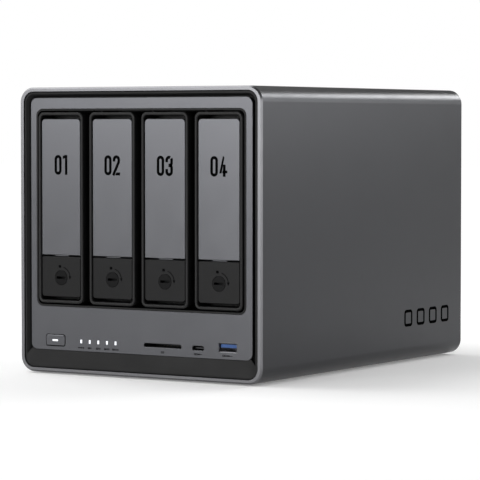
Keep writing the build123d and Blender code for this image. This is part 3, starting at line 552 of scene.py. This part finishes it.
plate_low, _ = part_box("faceplate")
strip_level = span_middle("power_button").z
LIGHTS = 5
LIGHT_PITCH = 6.47 * MM
USB_HALF = 6.55 * MM         # half a USB-A shell's width
USB_C_SYMBOL = 5.6 * MM
USB_A_SYMBOL = 7.2 * MM
lights_middle = span_middle("status_light_pipes").x
symbols = Outline((0, plate_low.y, strip_level - SYMBOL_DROP), (1, 0, 0), (0, 0, 1))
for i in range(LIGHTS):
    spot = lights_middle + (i - (LIGHTS - 1) / 2) * LIGHT_PITCH
    if i:
        draw_drive(symbols, spot, i)
    else:
        draw_network(symbols, spot)
draw_card(symbols, span_middle("card_reader").x)
draw_plug(symbols, span_middle("usb_c_port").x, USB_C_SYMBOL)
usb_low, usb_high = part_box("usb_a_shells")
front_usb_x = usb_high.x - USB_HALF
draw_plug(symbols, front_usb_x, USB_A_SYMBOL)
symbols.finish("strip_symbols", ink, "enclosure", "face_grey")

# ---------------------------------------------------------------- mark on the sleeve's side
# A row of upright bays stands in for the maker's lettering
BAY_MARK_HEIGHT = 11.0 * MM
BAY_MARK_WIDTH = 11.0 * MM
BAY_MARK_PITCH = 17.0 * MM
BAY_MARK_LINE = 1.9 * MM
BAY_MARK_CORNER = 1.6 * MM
BAY_MARK_MIDDLE = (79 * MM, 29.4 * MM)       # how far back and how high
_, sleeve_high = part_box("outer_sleeve")
side_mark = Outline((sleeve_high.x, *BAY_MARK_MIDDLE), (0, 1, 0), (0, 0, 1))
for i in range(len(BAYS)):
    side_mark.rounded_frame(
        (i - (len(BAYS) - 1) / 2) * BAY_MARK_PITCH, 0, BAY_MARK_WIDTH, BAY_MARK_HEIGHT,
        BAY_MARK_CORNER, BAY_MARK_LINE,
    )
side_mark.finish("side_mark", ink, "enclosure", "sleeve_aluminium")

# ---------------------------------------------------------------- contacts inside the sockets
FORWARD = ((1, 0, 0), (0, 1, 0))     # drawn from above, reading away from the front
BACKWARD = ((-1, 0, 0), (0, -1, 0))  # drawn from above, reading away from the back


def contact_row(name, place, axes, pitch, count, width, length):
    """Flat contacts side by side, running into a socket from place."""
    contacts = Outline(place, *axes, thick=CONTACT_THICK)
    for i in range(count):
        u = (i - (count - 1) / 2) * pitch
        contacts.block(u, length / 2, width, length)
        # A patch laid over the strip where a plug wipes it
        contacts.block(u, 0.2 * length, width * 0.6, 0.5 * MM)
    contacts.finish(name, gold, "enclosure", "plated_steel")


CONTACT_THICK = 0.2 * MM
USB_RISE = 2.85 * MM         # half a USB-A shell's height
USB_REAR_PITCH = 16.0 * MM
USB_CONTACTS = (2.4 * MM, 4, 1.1 * MM)       # pitch, count, width
front_usb_depth = usb_low.y + 4 * MM
rear_usb_depth = usb_high.y - 1.6 * MM
contact_row(
    "front_usb_contacts", (front_usb_x, front_usb_depth, usb_high.z - USB_RISE - CONTACT_THICK),
    FORWARD, *USB_CONTACTS, 4.5 * MM,
)
rear_usb_places = [usb_low.x + USB_HALF + i * USB_REAR_PITCH for i in range(3)]
for i, x in enumerate(rear_usb_places):
    contact_row(
        f"rear_usb_{i + 1}_contacts", (x, rear_usb_depth, usb_low.z + USB_RISE),
        BACKWARD, *USB_CONTACTS, 7 * MM,
    )

reader_low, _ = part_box("card_reader")
card_contact_depth = reader_low.y + 9 * MM
card_contact_level = strip_level - 1.15 * MM
contact_row(
    "card_contacts", (span_middle("card_reader").x, card_contact_depth, card_contact_level),
    FORWARD, 2.5 * MM, 9, 0.9 * MM, 4 * MM,
)

led_green = moulded_plastic("led_green", (0.06, 0.3, 0.1), 0.25, 0.3 * MM, gloss=0.5)
led_amber = moulded_plastic("led_amber", (0.5, 0.25, 0.05), 0.25, 0.3 * MM, gloss=0.5)
lan_low, lan_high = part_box("lan_ports")
LAN_HALF = 8 * MM            # half a network socket's width
WINDOW_SIDE = 5.6 * MM       # from the socket's middle
WINDOW_DROP = 1.3 * MM       # below the socket's top
WINDOW_THICK = 0.12 * MM
lan_places = (lan_low.x + LAN_HALF, lan_high.x - LAN_HALF)
for i, x in enumerate(lan_places):
    contact_row(
        f"lan_{i + 1}_contacts", (x, lan_high.y - 1.5 * MM, lan_high.z - 3.6 * MM),
        BACKWARD, 1.02 * MM, 8, 0.45 * MM, 9 * MM,
    )
    for side, colour_name, tint in ((-1, "green", led_green), (1, "amber", led_amber)):
        window = Outline(
            (x + side * WINDOW_SIDE, lan_high.y, lan_high.z - WINDOW_DROP), (-1, 0, 0), (0, 0, 1),
            WINDOW_THICK,
        )
        window.rounded(0, 0, 3.0 * MM, 1.5 * MM, 0.4 * MM)
        window.finish(f"lan_{i + 1}_{colour_name}_window", tint, "enclosure", "light_lens")

# ---------------------------------------------------------------- dust mesh in the fan filter
MESH_HALF_WIDTH = 60 * MM
MESH_HALF_HEIGHT = 51 * MM
MESH_PITCH = 1.6 * MM
THREAD = 0.4 * MM
THREAD_THICK = 0.2 * MM
mesh_nylon = moulded_plastic("mesh_nylon", (0.022, 0.022, 0.024), 0.5, 0.4 * MM)
filter_low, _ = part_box("fan_filter")
filter_middle = span_middle("fan_filter")
columns = int(MESH_HALF_WIDTH / MESH_PITCH)
rows = int(MESH_HALF_HEIGHT / MESH_PITCH)


def mesh_layer(depth):
    """An empty layer of threads, depth behind the filter's inner face."""
    place = (filter_middle.x, filter_low.y + depth, filter_middle.z)
    return Outline(place, (-1, 0, 0), (0, 0, 1), THREAD_THICK)


warp = mesh_layer(0.25 * MM)
weft = mesh_layer(0.45 * MM)
for i in range(-columns, columns + 1):
    warp.block(i * MESH_PITCH, 0, THREAD, 2 * MESH_HALF_HEIGHT)
for i in range(-rows, rows + 1):
    weft.block(0, i * MESH_PITCH, 2 * MESH_HALF_WIDTH, THREAD)
warp.finish("filter_mesh_warp", mesh_nylon, "fan_filter", "black_plastic")
weft.finish("filter_mesh_weft", mesh_nylon, "fan_filter", "black_plastic")

# ---------------------------------------------------------------- symbols beside the rear sockets
pale_ink = moulded_plastic("pale_ink", (0.32, 0.32, 0.33), 0.5, 0.3 * MM, 0.003 * MM)


def draw_screen(outline):
    """A screen on its stand."""
    outline.frame(0, 0.2 * MM, 2.4 * MM, 1.5 * MM, SYMBOL_LINE)
    outline.block(0, -0.75 * MM, 1.1 * MM, 0.25 * MM)


def draw_power(outline):
    """A broken ring with a bar through the break."""
    outline.stroke(arc((0, 0), 0.75 * MM, 120, 420, 18), SYMBOL_LINE)
    outline.block(0, 0.7 * MM, SYMBOL_LINE, 0.8 * MM)


def draw_reset(outline):
    """A ring that ends in an arrow."""
    outline.stroke(arc((0, 0), 0.75 * MM, 60, 330, 16), SYMBOL_LINE)
    outline.polygon([(0.3 * MM, 0.4 * MM), (0.95 * MM, 0.45 * MM), (0.5 * MM, 1.0 * MM)])


def draw_lock(outline):
    """A padlock."""
    outline.block(0, -0.35 * MM, 1.6 * MM, 1.1 * MM)
    outline.stroke(arc((0, 0.2 * MM), 0.5 * MM, 0, 180, 10), SYMBOL_LINE)


REAR_SYMBOL_SCALE = 1.5
REAR_SYMBOL_RISE = 2.6 * MM          # above the top of its socket
REAR_PLUG_LENGTH = 4 * MM
SECURITY_SLOT_X = -70 * MM
panel_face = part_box("rear_panel")[1].y
lan_symbol_level = lan_high.z + REAR_SYMBOL_RISE
usb_symbol_level = usb_low.z + 2 * USB_RISE + REAR_SYMBOL_RISE
reset_middle = span_middle("reset_button")
rear_symbols = [
    # x, height above the floor, what is drawn
    (lan_places[0], lan_symbol_level, lambda outline: draw_network(outline, 0)),
    (lan_places[1], lan_symbol_level, lambda outline: draw_network(outline, 0)),
    (span_middle("hdmi_port").x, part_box("hdmi_port")[1].z + REAR_SYMBOL_RISE, draw_screen),
    (span_middle("power_inlet").x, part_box("power_inlet")[1].z + REAR_SYMBOL_RISE, draw_power),
    (reset_middle.x, reset_middle.z + 3.6 * MM, draw_reset),
    (SECURITY_SLOT_X, reset_middle.z + 4.2 * MM, draw_lock),
]
for x in rear_usb_places:
    rear_symbols.append(
        (x, usb_symbol_level, lambda outline: draw_plug(outline, 0, REAR_PLUG_LENGTH))
    )
for i, (x, height, draw) in enumerate(rear_symbols):
    symbol = Outline((x, panel_face, height), (-1, 0, 0), (0, 0, 1), scale=REAR_SYMBOL_SCALE)
    draw(symbol)
    symbol.finish(f"rear_symbol_{i + 1}", pale_ink, "enclosure", "black_plastic")

# ---------------------------------------------------------------- floor, light and camera
WHITE = (0.9, 0.9, 0.9)
FLOOR_GLOW = 0.2
FLOOR_NEAR, FLOOR_FAR = 0.34, 0.85   # distances from the middle between which it turns white
FLOOR_SIZE = 14.0


def make_floor():
    """Pale paper sweep, lit from below in part, that whitens with distance so no edge shows."""
    bpy.ops.mesh.primitive_plane_add(size=FLOOR_SIZE, location=(0, 0, 0))
    floor = bpy.context.object
    floor.name = "studio_floor"
    surface = Surface("studio_floor", WHITE, 0.7)
    surface.shader.inputs["Specular IOR Level"].default_value = 0.2
    paper = surface.noise(3 * MM, 3)
    surface.mix(surface.remap(paper, 0.4, 0.7, 0.0, 0.3), lighter(WHITE, 0.985))
    distance = surface.nodes.new("ShaderNodeVectorMath")
    distance.operation = "LENGTH"
    surface.links.new(surface.coordinates, distance.inputs[0])
    far = surface.remap(distance.outputs["Value"], FLOOR_NEAR, FLOOR_FAR, 0.0, 1.0)
    surface.mix(far, (0, 0, 0))
    glow = surface.remap(distance.outputs["Value"], FLOOR_NEAR, FLOOR_FAR, FLOOR_GLOW, 1.0)
    surface.shader.inputs["Emission Color"].default_value = (1, 1, 1, 1)
    surface.links.new(glow, surface.shader.inputs["Emission Strength"])
    floor.data.materials.append(surface.finish())


def add_lamp(name, place, target, size, power):
    """A soft rectangular lamp, size = (width, height), facing target."""
    lamp = bpy.data.lights.new(name, "AREA")
    lamp.shape = "RECTANGLE"
    lamp.size, lamp.size_y = size
    lamp.energy = power
    lamp_object = bpy.data.objects.new(name, lamp)
    bpy.context.scene.collection.objects.link(lamp_object)
    lamp_object.location = place
    way = Vector(target) - Vector(place)
    lamp_object.rotation_euler = way.to_track_quat("-Z", "Y").to_euler()
    lamp_object.visible_camera = False


# The places, aims and sizes were chosen. The powers started from a scratch fit of the light to the
# photo's and were then rounded and changed by hand.
LAMPS = {
    # name: place, target, (width, height), power in watts
    "over_left": ((-0.9, -0.2, 1.3), (0, 0, 0.05), (1.0, 1.2), 15.0),
    "front_left": ((-1.15, -1.75, 0.45), (0, -0.1, 0.09), (0.6, 0.5), 6.0),
    "front_mid": ((-0.5, -1.75, 0.6), (0, -0.1, 0.09), (0.5, 0.4), 3.0),
    "front_low": ((-0.35, -1.75, 0.3), (0, -0.1, 0.09), (0.5, 0.4), 9.6),
    "front_right": ((1.55, -0.95, 0.3), (0, -0.1, 0.09), (0.5, 0.5), 4.0),
    "roof_strip": ((0.55, 1.42, 0.74), (0.05, 0, 0.1), (1.3, 0.2), 8.2),
    "roof_front": ((0.68, 1.42, 0.92), (0.05, 0, 0.1), (0.7, 0.16), 2.2),
    "side_near": ((1.0, 1.0, 0.35), (0.08, 0, 0.1), (0.5, 0.4), 2.4),
    "side_far": ((0.9, 1.3, 0.35), (0.08, 0, 0.1), (1.0, 0.3), 1.25),
    "over_back": ((-0.1, 0.9, 1.3), (0, 0, 0.05), (1.4, 0.9), 3.4),
    "left": ((-1.8, 0.2, 0.8), (0, 0, 0.09), (1.2, 1.0), 6.0),
}
AMBIENT = 0.2


def make_world():
    """White behind the object, and a softer white as the light from all round."""
    world = bpy.data.worlds.new("studio")
    bpy.context.scene.world = world
    world.use_nodes = True
    nodes, links = world.node_tree.nodes, world.node_tree.links
    background = nodes["Background"]
    background.inputs["Color"].default_value = (1, 1, 1, 1)
    path = nodes.new("ShaderNodeLightPath")
    strength = nodes.new("ShaderNodeMapRange")
    strength.inputs["To Min"].default_value = AMBIENT
    strength.inputs["To Max"].default_value = 1.0
    links.new(path.outputs["Is Camera Ray"], strength.inputs["Value"])
    links.new(strength.outputs["Result"], background.inputs["Strength"])


EYE = (0.8774, -1.4092, 0.15445)
EYE_AZIMUTH = 32.11          # degrees round from the front
EYE_DROP = 2.56              # degrees below level
LENS = 191.3


def make_camera():
    """The eye stands to the right of the front, a little below the box's top."""
    camera = bpy.data.cameras.new("camera")
    camera.sensor_width = 36.0
    camera.lens = LENS
    camera_object = bpy.data.objects.new("camera", camera)
    bpy.context.scene.collection.objects.link(camera_object)
    camera_object.location = EYE
    camera_object.rotation_euler = (radians(90 - EYE_DROP), 0, radians(EYE_AZIMUTH))
    bpy.context.scene.camera = camera_object


make_floor()
make_world()
for name, (place, target, size, power) in LAMPS.items():
    add_lamp(name, place, target, size, power)
make_camera()
bpy.context.scene.view_settings.view_transform = "Standard"
